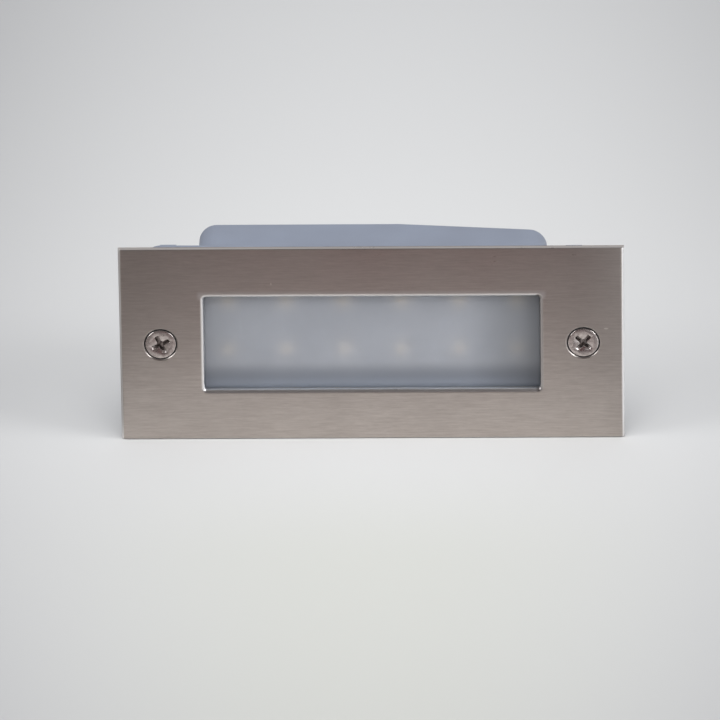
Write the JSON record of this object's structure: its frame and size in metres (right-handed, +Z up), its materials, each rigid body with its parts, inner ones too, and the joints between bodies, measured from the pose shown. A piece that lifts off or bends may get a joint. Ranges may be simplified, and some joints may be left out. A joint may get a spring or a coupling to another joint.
{
  "type": "recessed step light",
  "caption": "Low rectangular recessed step light: brushed plate with a long frosted window and screws, moulded recess box with a rear cable gland behind.",
  "frame": {"origin": "centre of the wall fixing holes, in the plane of the flange's rear face, which lies on the wall", "axes": "+X right seen from the front, +Y into the wall, +Z up; the light looks along -Y"},
  "size_m": [0.17, 0.0636, 0.07],
  "materials": {
    "brushed_steel": "brushed along its length, warm grey",
    "housing_plastic": "fine moulded texture, grey blue",
    "frosted_glass": "frosted",
    "seal_rubber": "matt black",
    "tray_white": "matt white",
    "board_white": "white solder mask",
    "board_green": "green solder mask",
    "lamp_yellow": "pale body with yellow phosphor",
    "plated_steel": "bright nickel plate",
    "brass": "turned",
    "zinc_steel": "zinc plate",
    "gland_nylon": "black moulded nylon",
    "component_black": "black moulded",
    "capacitor_sleeve": "dark blue sleeve",
    "film_box": "yellow box",
    "fuse_glass": "glass tube with plated caps",
    "ferrite": "sintered",
    "copper": "enamelled wire",
    "resistor_body": "beige lacquer",
    "terminal_nylon": "natural nylon",
    "wire_brown": "brown insulation",
    "wire_blue": "blue insulation",
    "wire_red": "red insulation",
    "wire_black": "black insulation"
  },
  "bodies": {
    "recess_box": {"housing": "housing_plastic", "face_seal": "seal_rubber", "diffuser_pane": "frosted_glass", "pane_gasket": "seal_rubber", "reflector_tray": "tray_white", "tray_screws": "zinc_steel", "led_board": "board_white", "leds": "lamp_yellow", "led_resistors": "component_black", "led_board_screws": "zinc_steel", "screw_inserts": "brass", "driver_board": "board_green", "driver_screws": "zinc_steel", "electrolytic_capacitor": "capacitor_sleeve", "film_capacitor": "film_box", "bridge_rectifier": "component_black", "fuse": "fuse_glass", "inductor_core": "ferrite", "inductor_coil": "copper", "controller_chip": "component_black", "driver_resistors": "resistor_body", "terminal_block": "terminal_nylon", "terminal_clamps": "brass", "terminal_screws": "zinc_steel", "terminal_block_screw": "zinc_steel", "gland_body": "gland_nylon", "gland_washer": "seal_rubber", "gland_locknut": "gland_nylon", "gland_insert": "seal_rubber", "wire_live": "wire_brown", "wire_neutral": "wire_blue", "wire_led_positive": "wire_red", "wire_led_negative": "wire_black"},
    "cover": {"faceplate": "brushed_steel"},
    "left_seal": {"left_screw_seal": "seal_rubber"},
    "left_cover_screw": {"left_screw": "plated_steel"},
    "right_seal": {"right_screw_seal": "seal_rubber"},
    "right_cover_screw": {"right_screw": "plated_steel"},
    "thrust_ring": {"gland_ring": "gland_nylon"},
    "clamp_nut": {"gland_nut": "gland_nylon"}
  },
  "joints": [
    {"name": "cover_lift", "type": "slide", "parent": "recess_box", "child": "cover", "axis": [0, -1, 0], "range_m": [0, 0.05]},
    {"name": "left_screw_draw", "type": "slide", "parent": "cover", "child": "left_seal", "axis": [0, -1, 0], "range_m": [0, 0.004]},
    {"name": "left_screw_turn", "type": "hinge", "parent": "left_seal", "child": "left_cover_screw", "pos_m": [-0.07125, -0.008, 0], "axis": [0, -1, 0], "range_deg": [0, 1800]},
    {"name": "right_screw_draw", "type": "slide", "parent": "cover", "child": "right_seal", "axis": [0, -1, 0], "range_m": [0, 0.004]},
    {"name": "right_screw_turn", "type": "hinge", "parent": "right_seal", "child": "right_cover_screw", "pos_m": [0.07125, -0.008, 0], "axis": [0, -1, 0], "range_deg": [0, 1800]},
    {"name": "gland_ring_draw", "type": "slide", "parent": "recess_box", "child": "thrust_ring", "axis": [0, 1, 0], "range_m": [0, 0.006]},
    {"name": "gland_nut_turn", "type": "hinge", "parent": "thrust_ring", "child": "clamp_nut", "pos_m": [-0.04, 0.05, 0], "axis": [0, 1, 0], "range_deg": [0, 1440]}
  ],
  "couplings": [
    {"joint": "left_screw_turn", "follows": "left_screw_draw", "rad_per_m": 7853.8},
    {"joint": "right_screw_turn", "follows": "right_screw_draw", "rad_per_m": 7853.8},
    {"joint": "gland_nut_turn", "follows": "gland_ring_draw", "rad_per_m": 4188.6}
  ]
}
